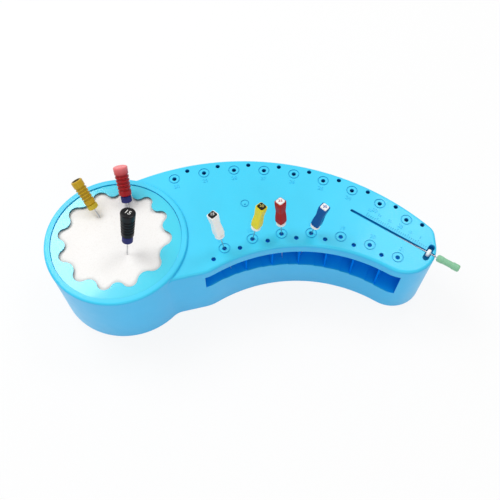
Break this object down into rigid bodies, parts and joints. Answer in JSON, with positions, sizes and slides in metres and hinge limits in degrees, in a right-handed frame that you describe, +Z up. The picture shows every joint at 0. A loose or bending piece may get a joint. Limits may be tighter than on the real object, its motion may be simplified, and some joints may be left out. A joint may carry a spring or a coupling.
{
  "type": "endodontic measuring block",
  "caption": "Dental file-measuring block: a round pot with a foam cushion and a curved arm with depth holes, a ruler groove and files standing in it.",
  "frame": {"origin": "centre of the round pot, on the plane of the flat base", "axes": "+X from the pot along the arm, +Y away from the user (the concave window side faces -Y), +Z up"},
  "size_m": [0.1785, 0.0737, 0.0583],
  "materials": {
    "body": "smooth glossy moulded cyan plastic",
    "ring": "polished cyan plastic",
    "foam": "fine open-cell white foam",
    "steel": "ground stainless steel",
    "stop_white": "soft white silicone",
    "stop_blue": "soft blue silicone",
    "stop_yellow": "soft yellow silicone",
    "cap_dark": "matt black",
    "cap_light": "matt white",
    "handle_white": "satin",
    "handle_yellow": "satin",
    "handle_red": "satin",
    "handle_blue": "satin",
    "handle_mustard": "satin",
    "handle_crimson": "slightly translucent",
    "handle_black": "satin",
    "handle_green": "slightly translucent"
  },
  "bodies": {
    "root": {"block_body": "body", "foam_ring": "ring", "foam_insert": "foam", "handle_white": "handle_white", "cap_white": "cap_dark", "blade_white": "steel", "handle_yellow": "handle_yellow", "cap_yellow": "cap_dark", "blade_yellow": "steel", "handle_red": "handle_red", "cap_red": "cap_light", "blade_red": "steel", "handle_blue": "handle_blue", "cap_blue": "cap_light", "blade_blue": "steel", "handle_mustard": "handle_mustard", "blade_mustard": "steel", "handle_crimson": "handle_crimson", "blade_crimson": "steel", "handle_black": "handle_black", "blade_black": "steel", "handle_green": "handle_green", "blade_green": "steel"},
    "stop_white": {"stop_white": "stop_white"},
    "stop_yellow": {"stop_yellow": "stop_white"},
    "stop_red": {"stop_red": "stop_white"},
    "stop_blue": {"stop_blue": "stop_white"},
    "stop_mustard": {"stop_mustard": "stop_yellow"},
    "stop_crimson": {"stop_crimson": "stop_blue"},
    "stop_black": {"stop_black": "stop_blue"},
    "stop_green": {"stop_green": "stop_white"}
  },
  "joints": [
    {"name": "slide_white", "type": "slide", "parent": "root", "child": "stop_white", "axis": [0.1838, -0.1741, -0.9674], "range_m": [0, 0.0072]},
    {"name": "slide_yellow", "type": "slide", "parent": "root", "child": "stop_yellow", "axis": [-0.165, -0.1747, -0.9707], "range_m": [0, 0.0062]},
    {"name": "slide_red", "type": "slide", "parent": "root", "child": "stop_red", "axis": [0.0587, -0.1958, -0.9789], "range_m": [0, 0.0054]},
    {"name": "slide_blue", "type": "slide", "parent": "root", "child": "stop_blue", "axis": [-0.2047, -0.0877, -0.9749], "range_m": [0, 0.0043]},
    {"name": "slide_mustard", "type": "slide", "parent": "root", "child": "stop_mustard", "axis": [0.4385, -0.4997, -0.747], "range_m": [0, 0.0019]},
    {"name": "slide_crimson", "type": "slide", "parent": "root", "child": "stop_crimson", "axis": [0.1172, -0.6132, -0.7812], "range_m": [0, 0.0003]},
    {"name": "slide_black", "type": "slide", "parent": "root", "child": "stop_black", "axis": [-0.1426, -0.2757, -0.9506], "range_m": [0, 0.0064]},
    {"name": "slide_green", "type": "slide", "parent": "root", "child": "stop_green", "axis": [0.8314, -0.5545, 0.0358], "range_m": [-0.0003, 0.0003]}
  ]
}
